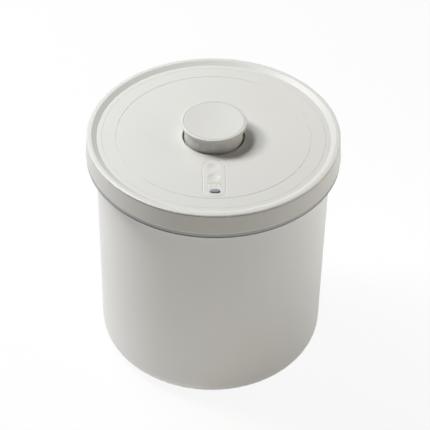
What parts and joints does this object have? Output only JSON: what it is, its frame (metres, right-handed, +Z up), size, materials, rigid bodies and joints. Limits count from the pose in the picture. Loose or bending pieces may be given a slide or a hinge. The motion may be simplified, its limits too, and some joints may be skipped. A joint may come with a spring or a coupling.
{
  "type": "rice storage container",
  "caption": "Round lidded canister for rice, with a hand vacuum pump knob, a release button and a vacuum indicator in the lid.",
  "frame": {"origin": "centre of the foot ring, on the surface that the pot stands on", "axes": "+Z up along the pot's axis, -Y towards the valve cover in front of the knob"},
  "size_m": [0.232, 0.232, 0.2512],
  "materials": {
    "shell": "warm pale grey, finely grained",
    "inner_plastic": "off-white, satin",
    "silicone": "blue-grey, matt",
    "steel": "bright drawn wire and plated screws"
  },
  "bodies": {
    "pot": {"container_body": "shell", "foot_ring": "silicone"},
    "lid": {"lid_cover": "shell", "top_panel": "shell", "valve_cover": "shell", "lid_base": "inner_plastic", "lid_gasket": "silicone", "lid_screw_1": "steel", "lid_screw_2": "steel", "lid_screw_3": "steel", "lid_screw_4": "steel", "pump_cylinder": "inner_plastic", "cylinder_cap": "inner_plastic", "cylinder_seal": "silicone", "cylinder_nut": "inner_plastic", "inlet_valve": "silicone", "filter_cap": "inner_plastic", "return_spring": "steel", "release_spring": "steel", "indicator_diaphragm": "silicone"},
    "knob": {"knob_shell": "shell", "knob_cap": "shell", "knob_screw": "steel", "piston": "inner_plastic", "piston_seal": "silicone", "exhaust_valve": "silicone"},
    "release": {"release_button": "shell", "release_seal": "silicone", "release_poppet": "inner_plastic"},
    "indicator": {"indicator_pin": "silicone"}
  },
  "joints": [
    {"name": "lid_lift", "type": "slide", "parent": "pot", "child": "lid", "axis": [0, 0, 1], "range_m": [0, 0.12]},
    {"name": "knob_press", "type": "slide", "parent": "lid", "child": "knob", "axis": [0, 0, -1], "range_m": [0, 0.0125], "stiffness_N_per_m": 400, "springref_m": -0.0125, "deforming": ["return_spring"]},
    {"name": "release_press", "type": "slide", "parent": "lid", "child": "release", "axis": [0, 0, -1], "range_m": [0, 0.0015], "stiffness_N_per_m": 800, "springref_m": -0.0015, "deforming": ["release_spring"]},
    {"name": "indicator_drop", "type": "slide", "parent": "lid", "child": "indicator", "axis": [0, 0, -1], "range_m": [0, 0.0012], "stiffness_N_per_m": 250, "springref_m": -0.0008, "deforming": ["indicator_diaphragm"]}
  ]
}
